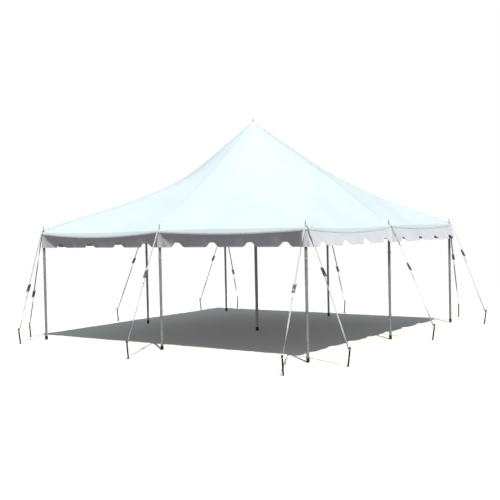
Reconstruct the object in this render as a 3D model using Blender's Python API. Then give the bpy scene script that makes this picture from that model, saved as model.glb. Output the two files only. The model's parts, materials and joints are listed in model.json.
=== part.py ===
"""A pole tent, 20 by 20 ft: a peaked vinyl top on a centre pole and eight side poles, held by twelve guys.

Metres, +Z up. The origin is on the ground under the centre pole. The front faces -Y and the right side +X.
"""

import math

import bmesh
import bpy
from mathutils import Matrix, Vector

# Canopy and poles.
BAY = 3.0  # from one side pole to the next
CANOPY_HALF = 3.048  # half of the 20 ft top
EAVE_Z = 2.14  # top of the canopy at a side pole
PEAK_Z = 4.275  # top of the canopy at the centre pole
HIP_SAG = 0.27  # how far a hip hangs below its straight line
EAVE_SAG = 0.08  # how far the eave hangs between two poles
PEAK_HOLE = 0.012  # half width of the opening round the peak pin
SHEET = 0.004
ROOF_ROWS = (0.03, 0.1, 0.2, 0.32, 0.44, 0.56, 0.68, 0.8, 0.9, 1.0)
ROOF_COLUMNS = 12
FIT = 0.0003  # gap between pieces that touch

# Scalloped valance.
VALANCE_BOTTOM_Z = 1.815
VALANCE_SHEET = 0.003
NOTCH_PITCH = 0.745
NOTCH_COUNT = 8
NOTCH_HALF = 0.15
NOTCH_RISE = 0.085
NOTCH_STEPS = 3  # samples on each flank of a notch
FIRST_NOTCH = {"front": 0.55, "right": 0.67, "back": 0.60, "left": 0.60}

# Poles.
SIDE_POLE_RADIUS = 0.024
CENTRE_POLE_RADIUS = 0.030
FOOT_WALL = 0.003
FOOT_HEIGHT = 0.035
PIN_RADIUS = 0.007
PIN_RISE = 0.09  # pin above the canopy
PIN_TIP = 0.012
PIN_HOLE = 0.0085
POLE_FACETS = 12

# Stakes.
STAKE_RADIUS = 0.0125
STAKE_HEIGHT = 0.30
STAKE_LEAN = 0.04
STAKE_HEAD_RADIUS = 0.017
STAKE_HEAD = 0.012
STAKE_FACETS = 10

# Guys: 25 mm webbing with a ratchet in each.
WEBBING = 0.025
STRAP = 0.003
LOWER_STRAP = 0.005  # two plies
EYE_RISE = 0.0145  # first eye above the canopy at the pin
EYE_STACK = 0.0036  # second eye at a corner, above the first
EYE_BACK = 0.016
EYE_FRONT = 0.024
EDGE_OUT = 0.0545  # where the strap turns down past the canopy's edge
EDGE_DROP = 0.028
LOOP_Z = 0.262  # middle of the loop round the stake
LOOP_WALL = 0.004
LOOP_HEIGHT = 0.025
PLATE_INSIDE = 0.0145
PLATE = 0.003
FRAME_BACK = -0.014
FRAME_LENGTH = 0.120
FRAME_LOW = -0.010
FRAME_HIGH = 0.014
DRUM_RADIUS = 0.0135
AXLE_RADIUS = 0.006
AXLE_HALF = 0.0275
BOLT_AT = 0.110
COVER_FROM = 0.045
COVER_TO = 0.085
COVER_LOW = -0.0085
BUCKLE_AT = 0.255
BUCKLE_LENGTH = 0.022
BUCKLE_HALF = 0.017
BUCKLE_THICK = 0.009

# Ratchet handles.
HANDLE_INSIDE = 0.0225
HANDLE_PLATE = 0.003
HANDLE_HUB = 0.012
HANDLE_HOLE = 0.0065
GRIP_AT = (0.135, 0.022)
GRIP_RADIUS = 0.008
ROUND = 8

SIDE_TURN = {"front": 0, "right": 90, "back": 180, "left": 270}
POLES = {
    "front_left": (-1, -1),
    "front_middle": (0, -1),
    "front_right": (1, -1),
    "right_middle": (1, 0),
    "back_right": (1, 1),
    "back_middle": (0, 1),
    "back_left": (-1, 1),
    "left_middle": (-1, 0),
}
# Each guy: its pole, the side it leans to, how far out and how far along that side its stake stands, and
# the share of the strap above its ratchet. The stakes stand where they were driven, so no two are alike.
GUYS = {
    "front_left_to_front": ("front_left", "front", 0.68, 0.04, 0.54),
    "front_left_to_left": ("front_left", "left", 0.58, -0.10, 0.63),
    "front_middle": ("front_middle", "front", 1.06, 0.18, 0.37),
    "front_right_to_front": ("front_right", "front", 1.16, 0.28, 0.46),
    "front_right_to_right": ("front_right", "right", 0.74, -0.06, 0.34),
    "right_middle": ("right_middle", "right", 0.74, 0.22, 0.38),
    "back_right_to_right": ("back_right", "right", 0.74, 0.02, 0.30),
    "back_right_to_back": ("back_right", "back", 1.02, 0.20, 0.36),
    "back_middle": ("back_middle", "back", 0.78, 0.0, 0.52),
    "back_left_to_back": ("back_left", "back", 0.80, 0.22, 0.58),
    "back_left_to_left": ("back_left", "left", 0.82, 0.0, 0.38),
    "left_middle": ("left_middle", "left", 1.00, -0.08, 0.34),
}


def clear_scene():
    for thing in list(bpy.data.objects):
        bpy.data.objects.remove(thing, do_unlink=True)


def finish(name, colour, roughness, metallic=0.0):
    material = bpy.data.materials.new(name)
    material.use_nodes = True
    shader = material.node_tree.nodes["Principled BSDF"]
    shader.inputs["Base Color"].default_value = (*colour, 1.0)
    shader.inputs["Roughness"].default_value = roughness
    shader.inputs["Metallic"].default_value = metallic
    return material


def mesh_of(name, points, faces):
    mesh = bpy.data.meshes.new(name)
    work = bmesh.new()
    corners = [work.verts.new(point) for point in points]
    for face in faces:
        work.faces.new([corners[index] for index in face])
    bmesh.ops.recalc_face_normals(work, faces=work.faces)
    work.to_mesh(mesh)
    work.free()
    return mesh


def add_object(name, mesh, material, place=None):
    thing = bpy.data.objects.new(name, mesh)
    bpy.context.scene.collection.objects.link(thing)
    if not mesh.materials:
        mesh.materials.append(material)
    thing.matrix_world = place or Matrix.Identity(4)
    return thing


def extruded(outline, along):
    """A closed prism: the outline, and the outline moved along a vector."""
    count = len(outline)
    points = [Vector(point) for point in outline] + [Vector(point) + along for point in outline]
    faces = [list(range(count)), list(range(2 * count - 1, count - 1, -1))]
    for index in range(count):
        after = (index + 1) % count
        faces.append([index, after, after + count, index + count])
    return mesh_of("prism", points, faces)


def circle(radius, facets, centre=(0.0, 0.0)):
    turns = [math.tau * step / facets for step in range(facets)]
    return [(centre[0] + radius * math.cos(turn), centre[1] + radius * math.sin(turn)) for turn in turns]


def fused(name, shapes, holes=(), solver="EXACT"):
    """One mesh from overlapping shapes, with the holes cut out of it."""
    scene = bpy.context.scene.collection.objects
    base = bpy.data.objects.new(name, shapes[0])
    scene.link(base)
    helpers = []
    for meshes, operation in ((shapes[1:], "UNION"), (holes, "DIFFERENCE")):
        for mesh in meshes:
            helper = bpy.data.objects.new("helper", mesh)
            scene.link(helper)
            helpers.append(helper)
            cut = base.modifiers.new("cut", "BOOLEAN")
            cut.operation = operation
            cut.solver = solver
            cut.object = helper
    bpy.context.view_layer.update()
    graph = bpy.context.evaluated_depsgraph_get()
    mesh = bpy.data.meshes.new_from_object(base.evaluated_get(graph))
    mesh.name = name
    for thing in [base, *helpers]:
        bpy.data.objects.remove(thing, do_unlink=True)
    return mesh


def turned(profile, facets):
    """A closed body turned round Z from a profile of (radius, height) that starts and ends on the axis."""
    points = []
    rings = []
    for radius, height in profile:
        if radius == 0.0:
            rings.append([len(points)])
            points.append((0.0, 0.0, height))
        else:
            rings.append(list(range(len(points), len(points) + facets)))
            points += [(x, y, height) for x, y in circle(radius, facets)]
    faces = []
    for low, high in zip(rings, rings[1:]):
        for step in range(facets):
            after = (step + 1) % facets
            ends = ((low, step), (low, after), (high, after), (high, step))
            corners = [ring[turn % len(ring)] for ring, turn in ends]
            faces.append(list(dict.fromkeys(corners)))
    mesh = mesh_of("turned", points, faces)
    mesh.shade_smooth()
    mesh.set_sharp_from_angle(angle=math.radians(35))
    return mesh


def canopy_z(x, y):
    """Height of the canopy's top face: straight ridges to the middle poles, sagging hips to the corners."""
    out = max(abs(x), abs(y))
    across = min(abs(x), abs(y)) / out
    ring = out / BAY
    chord = PEAK_Z - (PEAK_Z - EAVE_Z) * ring
    hip = HIP_SAG * math.sin(math.pi * min(ring, 1.0)) ** 2 * across
    dip = EAVE_SAG * min(ring, 1.0) ** 2 * math.sin(math.pi * across)
    return chord - hip - dip


def roof_panel():
    """One quarter of the top, the front one, as a thin closed sheet between two hips."""
    rows = [PEAK_HOLE] + [ring * BAY for ring in ROOF_ROWS] + [CANOPY_HALF]
    top = []
    for out in rows:
        reach = out - FIT
        for column in range(ROOF_COLUMNS + 1):
            x = reach * (2 * column / ROOF_COLUMNS - 1)
            top.append((x, -out, canopy_z(x, -out)))
    points = top + [(x, y, z - SHEET) for x, y, z in top]
    width = ROOF_COLUMNS + 1
    below = len(top)
    faces = []
    for row in range(len(rows) - 1):
        for column in range(ROOF_COLUMNS):
            # Both faces split along one diagonal, so the sheet keeps its thickness where a cell is twisted.
            a = row * width + column
            b, c, d = a + 1, a + 1 + width, a + width
            halves = ((a, b, c), (a, c, d)) if column < ROOF_COLUMNS / 2 else ((a, b, d), (b, c, d))
            for half in halves:
                faces.append(half)
                faces.append([index + below for index in reversed(half)])
    rim = list(range(width))
    rim += [row * width + ROOF_COLUMNS for row in range(1, len(rows))]
    rim += [(len(rows) - 1) * width + column for column in range(ROOF_COLUMNS - 1, -1, -1)]
    rim += [row * width for row in range(len(rows) - 2, 0, -1)]
    for here, after in zip(rim, rim[1:] + rim[:1]):
        faces.append([here, after, after + below, here + below])
    return mesh_of("roof_panel", points, faces)


def pin_hole(x, y):
    outline = [(x + px, y + py, EAVE_Z - 0.1) for px, py in circle(PIN_HOLE, ROUND)]
    return extruded(outline, Vector((0, 0, 0.2)))


def roof_edge_z(x):
    """Height of the roof's lower face at its edge, straight from one column of its mesh to the next."""
    reach = CANOPY_HALF - FIT
    step = 2 * reach / ROOF_COLUMNS
    column = min(max(math.floor((x + reach) / step), 0), ROOF_COLUMNS - 1)
    left = -reach + column * step
    low, high = canopy_z(left, -CANOPY_HALF), canopy_z(left + step, -CANOPY_HALF)
    return low + (high - low) * (x - left) / step - SHEET


def notch_rise(side, x):
    """How far the lower edge of a valance stands above its lobes at x: a bell in each notch."""
    first = -CANOPY_HALF + FIRST_NOTCH[side]
    nearest = min(max(round((x - first) / NOTCH_PITCH), 0), NOTCH_COUNT - 1)
    along = (x - first - nearest * NOTCH_PITCH) / NOTCH_HALF
    return NOTCH_RISE * (0.5 + 0.5 * math.cos(math.pi * along)) if abs(along) < 1 else 0.0


def valance_stations(side):
    """Places along one valance, left to right: its ends, its notches and the columns of the roof above."""
    half = CANOPY_HALF if side in ("front", "back") else CANOPY_HALF - VALANCE_SHEET - FIT
    places = {-half, half}
    reach = CANOPY_HALF - FIT
    places.update(reach * (2 * column / ROOF_COLUMNS - 1) for column in range(1, ROOF_COLUMNS))
    for count in range(NOTCH_COUNT):
        middle = -CANOPY_HALF + FIRST_NOTCH[side] + count * NOTCH_PITCH
        for step in range(-NOTCH_STEPS, NOTCH_STEPS + 1):
            places.add(middle + NOTCH_HALF * step / NOTCH_STEPS)
    return sorted(place for place in places if abs(place) <= half)


def valance_strip(side):
    outer, inner = -CANOPY_HALF, -CANOPY_HALF + VALANCE_SHEET
    stations = valance_stations(side)
    count = len(stations)
    points = []
    for y in (outer, inner):
        points += [(x, y, VALANCE_BOTTOM_Z + notch_rise(side, x)) for x in stations]
        points += [(x, y, roof_edge_z(x) - FIT) for x in stations]
    faces = []
    for step in range(count - 1):
        low, high = step, step + count
        faces.append([low, low + 1, high + 1, high])
        faces.append([2 * count + index for index in (high, high + 1, low + 1, low)])
        faces.append([low, low + 2 * count, low + 1 + 2 * count, low + 1])
        faces.append([high, high + 1, high + 1 + 2 * count, high + 2 * count])
    for end in (0, count - 1):
        faces.append([end, end + count, end + 3 * count, end + 2 * count])
    return mesh_of(f"valance_{side}", points, faces)


def pole_profile(radius, top, pin_top):
    foot = radius + FOOT_WALL
    return [
        (0.0, 0.0),
        (foot, 0.0),
        (foot, FOOT_HEIGHT),
        (radius, FOOT_HEIGHT),
        (radius, top),
        (PIN_RADIUS, top),
        (PIN_RADIUS, pin_top - PIN_TIP),
        (0.0, pin_top),
    ]


def pole_top(x, y, radius):
    """The highest flat end that fits under the canopy at this place."""
    rim = [canopy_z(x + px, y + py) for px, py in circle(radius, POLE_FACETS)]
    return min(rim) - SHEET - FIT


def make_canopy(vinyl, valance_vinyl):
    for side, turn in SIDE_TURN.items():
        place = Matrix.Rotation(math.radians(turn), 4, "Z")
        holes = [pin_hole(step * BAY, -BAY) for step in (-1, 0, 1)]
        add_object(f"roof_{side}", fused(f"roof_{side}", [roof_panel()], holes), vinyl, place)
        add_object(f"valance_{side}", valance_strip(side), valance_vinyl, place)


def make_poles(steel):
    top = pole_top(0.0, 0.0, CENTRE_POLE_RADIUS)
    profile = pole_profile(CENTRE_POLE_RADIUS, top, PEAK_Z + PIN_RISE)
    add_object("pole_centre", turned(profile, POLE_FACETS), steel)
    for name, (across, along) in POLES.items():
        x, y = across * BAY, along * BAY
        profile = pole_profile(SIDE_POLE_RADIUS, pole_top(x, y, SIDE_POLE_RADIUS), EAVE_Z + PIN_RISE)
        add_object(f"pole_{name}", turned(profile, POLE_FACETS), steel, Matrix.Translation((x, y, 0.0)))


def frame_at(origin, x_axis, z_axis):
    y_axis = z_axis.cross(x_axis)
    turn = Matrix((x_axis, y_axis, z_axis)).transposed().to_4x4()
    return Matrix.Translation(origin) @ turn


def layout(guy):
    """Places in one guy: the upright frame at its pin, the stake's axis, and the frame of its ratchet."""
    pole, side, reach, shift, ratchet_at = GUYS[guy]
    across, along = POLES[pole]
    spin = Matrix.Rotation(math.radians(SIDE_TURN[side]), 3, "Z")
    out = spin @ Vector((shift, -reach, 0.0))
    distance = out.length
    pin = Vector((across * BAY, along * BAY, 0.0))
    upright = frame_at(pin, out.normalized(), Vector((0, 0, 1)))
    second = abs(across * along) == 1 and side in ("left", "right")
    level = EYE_STACK if second else 0.0
    axis = Vector((STAKE_LEAN, 0.0, STAKE_HEIGHT)).normalized()
    loop = Vector((distance, 0.0, 0.0)) + axis * LOOP_Z
    bend = Vector((EDGE_OUT, 0.0, EAVE_Z - EDGE_DROP + level))
    end = loop - Vector((STAKE_RADIUS + LOOP_WALL / 2, 0.0, 0.0))
    down = (end - bend).normalized()
    normal = Vector((-down.z, 0.0, down.x))
    spool = bend + down * (end - bend).length * ratchet_at
    ratchet = upright @ frame_at(spool, down, normal)
    return upright, level, distance, axis, loop, bend, end, spool, ratchet


def strip(route, thickness):
    """The outline in the XZ plane of a strap that follows a route of points."""
    upper, lower = [], []
    for index, point in enumerate(route):
        before = (point - route[index - 1]).normalized() if index else None
        after = (route[index + 1] - point).normalized() if index + 1 < len(route) else None
        before, after = before or after, after or before
        along = (before + after).normalized()
        normal = Vector((-along.z, 0.0, along.x))
        half = thickness / 2 / along.dot(before)
        upper.append(point + normal * half)
        lower.append(point - normal * half)
    return upper + lower[::-1]


def bar(place, outline, half, start=None):
    """A prism across the guy: an outline in the frame's XZ plane, from one side of the strap to the other."""
    near = -half if start is None else start
    corners = [place @ Vector((x, near, z)) for x, z in outline]
    return extruded(corners, place.to_3x3() @ Vector((0, half - near, 0)))


def rectangle(x0, x1, z0, z1):
    return [(x0, z0), (x1, z0), (x1, z1), (x0, z1)]


def guy_mesh(guy):
    upright, level, _, axis, loop, bend, end, spool, ratchet = layout(guy)
    eye_z = EAVE_Z + EYE_RISE + level
    upper = strip([Vector((-EYE_BACK, 0, eye_z)), Vector((EYE_FRONT, 0, eye_z)), bend, spool], STRAP)
    bolt = spool + (end - spool).normalized() * BOLT_AT
    lower = strip([bolt, end], LOWER_STRAP)
    plate = rectangle(FRAME_BACK, FRAME_LENGTH, FRAME_LOW, FRAME_HIGH)
    outside = PLATE_INSIDE + PLATE
    buckle = rectangle(BUCKLE_AT, BUCKLE_AT + BUCKLE_LENGTH, -BUCKLE_THICK / 2, BUCKLE_THICK / 2)
    shapes = [
        bar(upright, [(p.x, p.z) for p in upper], WEBBING / 2),
        bar(ratchet, circle(DRUM_RADIUS, ROUND), PLATE_INSIDE + PLATE / 2),
        bar(ratchet, circle(AXLE_RADIUS, ROUND), AXLE_HALF),
        bar(ratchet, plate, outside, PLATE_INSIDE),
        bar(ratchet, plate, -PLATE_INSIDE, -outside),
        bar(ratchet, rectangle(COVER_FROM, COVER_TO, COVER_LOW, COVER_LOW + PLATE), PLATE_INSIDE + PLATE / 2),
        bar(ratchet, circle(AXLE_RADIUS, ROUND, (BOLT_AT, 0.0)), PLATE_INSIDE + PLATE / 2),
        bar(upright, [(p.x, p.z) for p in lower], WEBBING / 2),
        bar(ratchet, buckle, BUCKLE_HALF),
    ]
    collar = upright @ frame_at(loop, axis.orthogonal().normalized(), axis)
    ring = STAKE_RADIUS + FIT + LOOP_WALL
    low = Vector((0, 0, -LOOP_HEIGHT / 2))
    round_stake = [collar @ (Vector((x, y, 0)) + low) for x, y in circle(ring, STAKE_FACETS)]
    shapes.append(extruded(round_stake, collar.to_3x3() @ Vector((0, 0, LOOP_HEIGHT))))
    bore = (STAKE_RADIUS + FIT) / math.cos(math.pi / STAKE_FACETS)
    through = [collar @ (Vector((x, y, 0)) + low * 2) for x, y in circle(bore, STAKE_FACETS)]
    holes = [
        extruded(through, collar.to_3x3() @ Vector((0, 0, 2 * LOOP_HEIGHT))),
        extruded(
            [upright @ Vector((x, y, eye_z - STRAP)) for x, y in circle(PIN_RADIUS + 2 * FIT, ROUND)],
            Vector((0, 0, 2 * STRAP)),
        ),
    ]
    return fused(f"guy_{guy}", shapes, holes, "MANIFOLD")  # EXACT leaves open edges on a few of them


def stake_mesh():
    """A round stake that leans along +X, cut level at the ground, with a small forged head."""
    length = math.hypot(STAKE_LEAN, STAKE_HEIGHT)
    axis = Vector((STAKE_LEAN, 0.0, STAKE_HEIGHT)).normalized()
    side = Vector((0, 1, 0))
    front = side.cross(axis)
    rings = []
    for radius, along in (
        (STAKE_RADIUS, 0.0),
        (STAKE_RADIUS, length - STAKE_HEAD),
        (STAKE_HEAD_RADIUS, length - STAKE_HEAD),
        (STAKE_HEAD_RADIUS, length),
    ):
        ring = [axis * along + front * x + side * y for x, y in circle(radius, STAKE_FACETS)]
        rings.append(ring)
    rings[0] = [point - axis * (point.z / axis.z) for point in rings[0]]
    points = [point for ring in rings for point in ring]
    faces = [list(range(STAKE_FACETS)), list(range(3 * STAKE_FACETS, 4 * STAKE_FACETS))]
    for level in range(3):
        for step in range(STAKE_FACETS):
            after = (step + 1) % STAKE_FACETS
            a, b = level * STAKE_FACETS + step, level * STAKE_FACETS + after
            faces.append([a, b, b + STAKE_FACETS, a + STAKE_FACETS])
    mesh = mesh_of("stake", points, faces)
    mesh.shade_smooth()
    mesh.set_sharp_from_angle(angle=math.radians(35))
    return mesh


def handle_mesh():
    """A ratchet handle along +X with its pivot at the origin: two plates and a grip across their ends."""
    place = Matrix.Identity(4)
    grip_x, grip_z = GRIP_AT
    swing = math.atan2(grip_z, grip_x)
    rounds = 4
    outline = []
    for step in range(rounds + 1):
        turn = swing + math.pi / 2 + math.pi * step / rounds
        outline.append((HANDLE_HUB * math.cos(turn), HANDLE_HUB * math.sin(turn)))
    for step in range(rounds + 1):
        turn = swing - math.pi / 2 + math.pi * step / rounds
        outline.append((grip_x + GRIP_RADIUS * math.cos(turn), grip_z + GRIP_RADIUS * math.sin(turn)))
    outside = HANDLE_INSIDE + HANDLE_PLATE
    shapes = [
        bar(place, circle(GRIP_RADIUS * 0.98, ROUND, GRIP_AT), HANDLE_INSIDE + HANDLE_PLATE / 2),
        bar(place, outline, outside, HANDLE_INSIDE),
        bar(place, outline, -HANDLE_INSIDE, -outside),
    ]
    holes = [bar(place, circle(HANDLE_HOLE, ROUND), outside + HANDLE_PLATE)]
    return fused("ratchet_handle", shapes, holes)


def make_guys(webbing, zinc, iron):
    stake, handle = stake_mesh(), handle_mesh()
    for guy in GUYS:
        upright, _, distance, _, _, _, _, _, ratchet = layout(guy)
        add_object(f"guy_{guy}", guy_mesh(guy), webbing)
        add_object(f"handle_{guy}", handle, zinc, ratchet)
        add_object(f"stake_{guy}", stake, iron, upright @ Matrix.Translation((distance, 0.0, 0.0)))


clear_scene()
make_canopy(finish("white_vinyl", (0.86, 0.90, 0.92), 0.45), finish("valance_vinyl", (0.80, 0.83, 0.85), 0.5))
make_poles(finish("galvanised_steel", (0.42, 0.44, 0.46), 0.4, 0.9))
make_guys(
    finish("white_webbing", (0.78, 0.78, 0.75), 0.8),
    finish("zinc_plate", (0.35, 0.36, 0.37), 0.35, 0.9),
    finish("black_iron", (0.03, 0.03, 0.03), 0.6, 0.6),
)
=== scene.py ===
"""A 20 by 20 ft pole tent: white vinyl top, scalloped valance, steel poles, ratchet guys and iron stakes."""

import json
import math

import bmesh
import bpy
from mathutils import Matrix, Vector
from mathutils.bvhtree import BVHTree


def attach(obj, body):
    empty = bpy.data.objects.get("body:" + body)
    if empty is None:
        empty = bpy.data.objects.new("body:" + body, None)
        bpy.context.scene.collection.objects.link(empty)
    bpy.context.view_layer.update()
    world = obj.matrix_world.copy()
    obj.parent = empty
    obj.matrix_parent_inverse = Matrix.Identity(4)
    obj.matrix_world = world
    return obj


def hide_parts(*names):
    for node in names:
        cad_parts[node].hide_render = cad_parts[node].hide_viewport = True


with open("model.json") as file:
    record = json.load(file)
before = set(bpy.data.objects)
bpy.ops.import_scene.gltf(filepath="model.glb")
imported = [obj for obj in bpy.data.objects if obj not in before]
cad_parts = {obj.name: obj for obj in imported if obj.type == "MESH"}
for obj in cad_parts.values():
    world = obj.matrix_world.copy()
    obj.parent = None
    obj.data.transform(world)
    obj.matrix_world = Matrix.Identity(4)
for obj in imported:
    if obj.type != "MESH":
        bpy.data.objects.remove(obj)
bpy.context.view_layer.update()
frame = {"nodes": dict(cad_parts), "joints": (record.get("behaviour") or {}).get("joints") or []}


# The studio: a wide pale floor whose far rim curves up as a backdrop, one high key light from the front
# right, and a pale blue sky that fills the shade.
FLOOR_REACH = 46.0
RIM_BEND = 14.0
RIM_HEIGHT = 30.0
NEAR_FLOOR = 15.0
SUN_TOWARDS = (0.32, -0.27, 0.91)


def finished(name, work, sharp_from=180):
    """The mesh of a worked body, smooth but for the edges that turn by more than sharp_from degrees."""
    mesh = bpy.data.meshes.new(name)
    work.to_mesh(mesh)
    work.free()
    mesh.shade_smooth()
    mesh.set_sharp_from_angle(angle=math.radians(sharp_from))
    return mesh


def turned(name, profile, facets, place=None, sharp_from=40):
    """A body turned round Z from (radius, height) pairs, closed where the profile meets the axis."""
    work = bmesh.new()
    corners = [work.verts.new((out, 0.0, up)) for out, up in profile]
    edges = [work.edges.new(pair) for pair in zip(corners, corners[1:])]
    bmesh.ops.spin(work, geom=edges + corners, axis=(0, 0, 1), cent=(0, 0, 0), angle=math.tau, steps=facets,
                   use_merge=True)
    bmesh.ops.remove_doubles(work, verts=work.verts, dist=0.00001)
    bmesh.ops.recalc_face_normals(work, faces=work.faces)
    mesh = finished(name, work, sharp_from)
    if place:
        mesh.transform(place)
    return mesh


def stage_floor():
    """A flat disc whose rim sweeps up in a quarter circle and a wall."""
    profile = [(0.0, 0.0)] + [(FLOOR_REACH * share, 0.0) for share in (0.05, 0.15, 0.3, 0.5, 0.7)]
    for step in range(9):
        turn = math.pi / 2 * step / 8
        profile.append((FLOOR_REACH - RIM_BEND + RIM_BEND * math.sin(turn), RIM_BEND * (1 - math.cos(turn))))
    profile.append((FLOOR_REACH, RIM_HEIGHT))
    floor = bpy.data.objects.new("studio_floor", turned("studio_floor", profile, 96, sharp_from=180))
    bpy.context.scene.collection.objects.link(floor)
    floor.visible_diffuse = False
    floor.visible_glossy = False
    floor.visible_shadow = False
    return floor


def fed(taker, *feeds, **inputs):
    """Feeds a node's inputs, in order or by name, with values, sockets or other nodes' first outputs."""
    pairs = list(zip(taker.inputs, feeds))
    pairs += [(taker.inputs[name.replace("_", " ")], value) for name, value in inputs.items()]
    for socket, value in pairs:
        if isinstance(value, bpy.types.Node):
            value = value.outputs[0]
        if isinstance(value, bpy.types.NodeSocket):
            taker.id_data.links.new(value, socket)
        else:
            socket.default_value = value
    return taker


def node(tree, kind, *feeds, **named):
    """A new node of a tree. Names in lower case are its settings, and the others are inputs to feed."""
    made = tree.nodes.new(kind)
    for name in [name for name in named if name.islower()]:
        setattr(made, name, named.pop(name))
    return fed(made, *feeds, **named)


def ramp(tree, share, *stops):
    """Turns a share into a colour between (share, colour) stops, of which the first two are the ends."""
    made = node(tree, "ShaderNodeValToRGB", share)
    elements = made.color_ramp.elements
    for step, (at, colour) in enumerate(stops):
        stop = elements[step] if step < 2 else elements.new(at)
        stop.position = at
        stop.color = (*colour, 1.0)
    return made


def floor_paint():
    """Pale matt paint near the tent that glows evenly towards the rim, so floor and backdrop meet unseen."""
    paint = bpy.data.materials.new("studio_paint")
    paint.use_nodes = True
    tree = paint.node_tree
    matt = fed(tree.nodes["Principled BSDF"], Base_Color=(0.97, 0.95, 0.87, 1.0), Roughness=0.9,
               Specular_IOR_Level=0.1)
    glow = node(tree, "ShaderNodeEmission", Color=(1.0, 1.0, 1.0, 1.0), Strength=1.0)
    place = node(tree, "ShaderNodeTexCoord").outputs["Object"]
    reach = node(tree, "ShaderNodeVectorMath", place, operation="LENGTH")
    share = node(tree, "ShaderNodeMapRange", reach.outputs["Value"], NEAR_FLOOR / 2, NEAR_FLOOR,
                 interpolation_type="SMOOTHSTEP")
    fed(tree.nodes["Material Output"], Surface=node(tree, "ShaderNodeMixShader", share, matt, glow))
    return paint


floor = stage_floor()
floor.data.materials.append(floor_paint())

lamp = bpy.data.lights.new("key_light", "SUN")
lamp.energy = 3.25
lamp.angle = math.radians(1.0)
lamp.color = (1.0, 0.995, 0.98)
key_light = bpy.data.objects.new("key_light", lamp)
key_light.rotation_euler = Vector(SUN_TOWARDS).to_track_quat("Z", "Y").to_euler()
bpy.context.scene.collection.objects.link(key_light)

sky = bpy.data.worlds.new("studio_sky")
sky.use_nodes = True
bpy.context.scene.world = sky
direction = node(sky.node_tree, "ShaderNodeTexCoord").outputs["Generated"]
split = node(sky.node_tree, "ShaderNodeSeparateXYZ", direction)
height = node(sky.node_tree, "ShaderNodeMapRange", split.outputs["Z"], From_Min=-1.0)
colours = ramp(sky.node_tree, height, (0.0, (0.145, 0.128, 0.130)), (1.0, (0.30, 0.37, 0.42)),
               (0.5, (0.183, 0.163, 0.168)))
fed(sky.node_tree.nodes["Background"], Color=colours, Strength=1.0)
bpy.context.scene.view_settings.view_transform = "Standard"


# The camera: a 60 mm view from beyond the front right corner, a little above head height and almost level.
CAMERA_AT = (9.696, -14.182, 2.134)
CAMERA_TURN = 34.752
CAMERA_DIP = -1.552
CAMERA_ROLL = -1.159

lens = bpy.data.cameras.new("camera")
lens.lens = 60.0
lens.sensor_width = 36.0
lens.clip_end = 300.0
camera = bpy.data.objects.new("camera", lens)
camera.matrix_world = (
    Matrix.Translation(CAMERA_AT)
    @ Matrix.Rotation(math.radians(CAMERA_TURN), 4, "Z")
    @ Matrix.Rotation(math.radians(90 + CAMERA_DIP), 4, "X")
    @ Matrix.Rotation(math.radians(CAMERA_ROLL), 4, "Z")
)
bpy.context.scene.collection.objects.link(camera)
bpy.context.scene.camera = camera


# The poles: galvanised steel tube in a black rubber boot, with a turned plug and a pin at the top that goes
# through the canopy's grommet. The centre pole is the thicker one.
BAY = 3.0
EAVE_Z = 2.14
PEAK_Z = 4.275
PIN_RISE = 0.09
SIDE_POLE_RADIUS = 0.024
CENTRE_POLE_RADIUS = 0.030
PIN_RADIUS = 0.0068
BOOT_HEIGHT = 0.075
BOOT_WALL = 0.003
TUBE_FACETS = 40


def painted(name, colour, roughness, metallic=0.0):
    """A new material, its Principled shader and its tree, to which the pieces' own textures are added."""
    material = bpy.data.materials.new(name)
    material.use_nodes = True
    tree = material.node_tree
    shader = fed(tree.nodes["Principled BSDF"], Base_Color=(*colour, 1.0), Roughness=roughness,
                 Metallic=metallic)
    return material, shader, tree


def relief(tree, shader, height, strength, deep):
    bump = node(tree, "ShaderNodeBump", Strength=strength, Distance=deep, Height=height)
    fed(shader, Normal=bump)


def mottle(tree, shader, scale, dark, light, rough=None, bump=0.0, detail=4.0):
    """Noise over the surface: a colour from dark to light, roughness from low to high, and a fine bump."""
    place = node(tree, "ShaderNodeTexCoord").outputs["Object"]
    noise = node(tree, "ShaderNodeTexNoise", place, Scale=scale, Detail=detail)
    colour = ramp(tree, noise, (0.3, dark), (0.7, light))
    fed(shader, Base_Color=colour)
    if rough:
        spread = node(tree, "ShaderNodeMapRange", noise, To_Min=rough[0], To_Max=rough[1])
        fed(shader, Roughness=spread)
    if bump:
        relief(tree, shader, noise, 0.6, bump)
    return colour


def mottled(name, colour, metallic, scale, dark, light, rough, bump):
    material, shader, tree = painted(name, colour, sum(rough) / 2, metallic)
    mottle(tree, shader, scale, dark, light, rough, bump)
    return material


def galvanised():
    """Zinc on steel: angular crystals a centimetre or so across, some a little brighter than others."""
    material, shader, tree = painted("galvanised_tube", (0.5, 0.51, 0.52), 0.5, 0.35)
    place = node(tree, "ShaderNodeTexCoord").outputs["Object"]
    crystals = node(tree, "ShaderNodeTexVoronoi", place, Scale=75.0).outputs["Color"]
    cloud = node(tree, "ShaderNodeTexNoise", place, Scale=3.0)
    grey = node(tree, "ShaderNodeSeparateColor", crystals)
    both = node(tree, "ShaderNodeMath", grey, 0.4, cloud, operation="MULTIPLY_ADD")
    colour = ramp(tree, both, (0.35, (0.40, 0.41, 0.415)), (0.8, (0.62, 0.63, 0.64)))
    spread = node(tree, "ShaderNodeMapRange", grey.outputs[1], To_Min=0.34, To_Max=0.52)
    fed(shader, Base_Color=colour, Roughness=spread)
    return material


GALVANISED = galvanised()
RUBBER = mottled("black_rubber", (0.03, 0.03, 0.03), 0.0, 60.0, (0.018, 0.018, 0.018), (0.05, 0.05, 0.048),
                 (0.55, 0.85), 0.0004)
STEEL = mottled("turned_steel", (0.45, 0.45, 0.45), 0.95, 140.0, (0.22, 0.22, 0.22), (0.50, 0.50, 0.49),
                (0.28, 0.5), 0.0001)


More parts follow.
